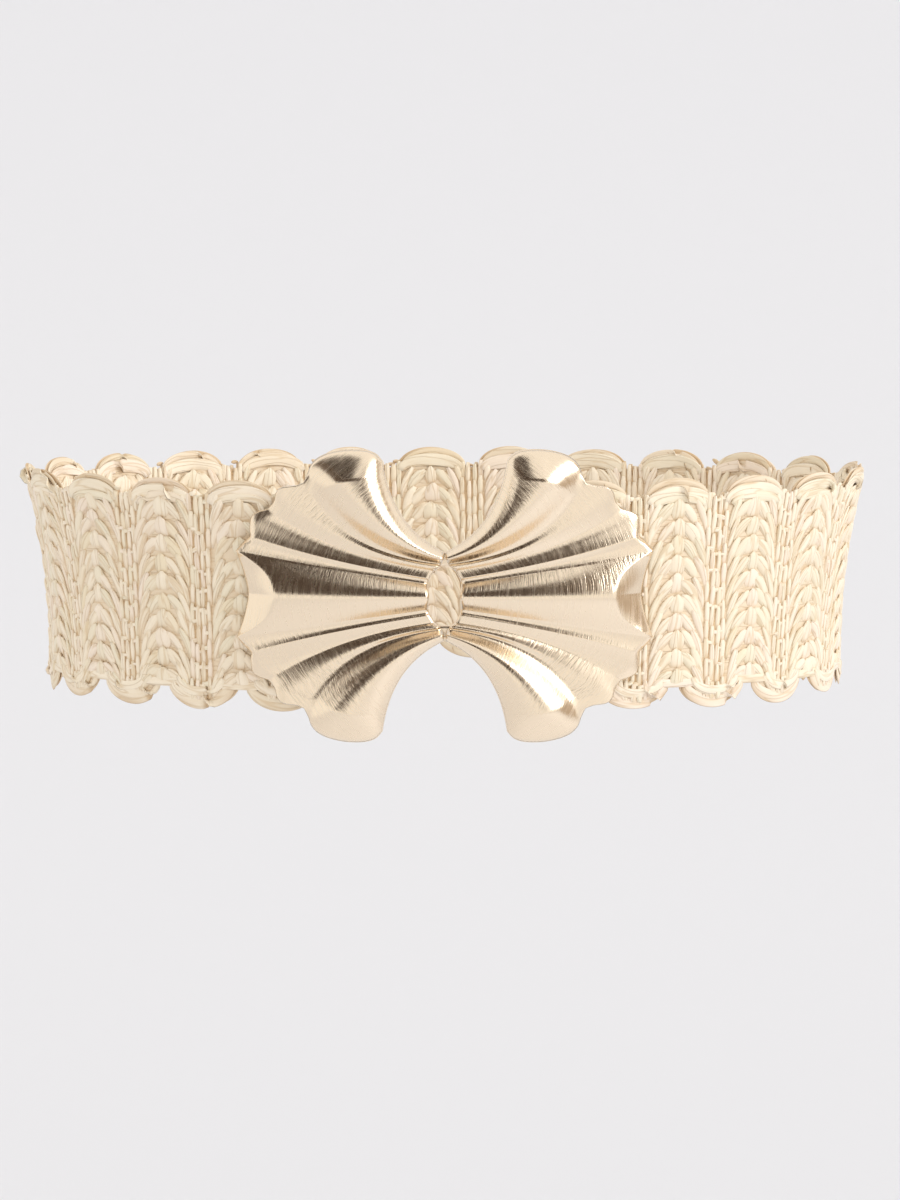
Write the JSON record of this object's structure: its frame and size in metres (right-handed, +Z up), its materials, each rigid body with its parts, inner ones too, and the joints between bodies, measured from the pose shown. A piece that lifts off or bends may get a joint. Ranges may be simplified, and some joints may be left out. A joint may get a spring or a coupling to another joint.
{
  "type": "elastic stretch belt with shell clasp",
  "caption": "Closed waist belt: a scalloped band of crocheted raffia with stretch, fastened in front by two cast shell halves on a hidden link.",
  "frame": {"origin": "middle of the waist that the belt goes round, at half the height of the band", "axes": "+Z up along the body, +X to the side, the clasp in front at -Y"},
  "size_m": [0.2524, 0.1819, 0.0838],
  "materials": {
    "raffia": "crocheted from flat natural raffia ribbon, matt with a soft sheen",
    "gold": "pale champagne gold plating on a zinc casting, brushed across the lobes"
  },
  "bodies": {
    "root": {"raffia_band": "raffia", "buckle_left": "gold", "buckle_right": "gold", "catch_loop": "gold"}
  },
  "joints": []
}
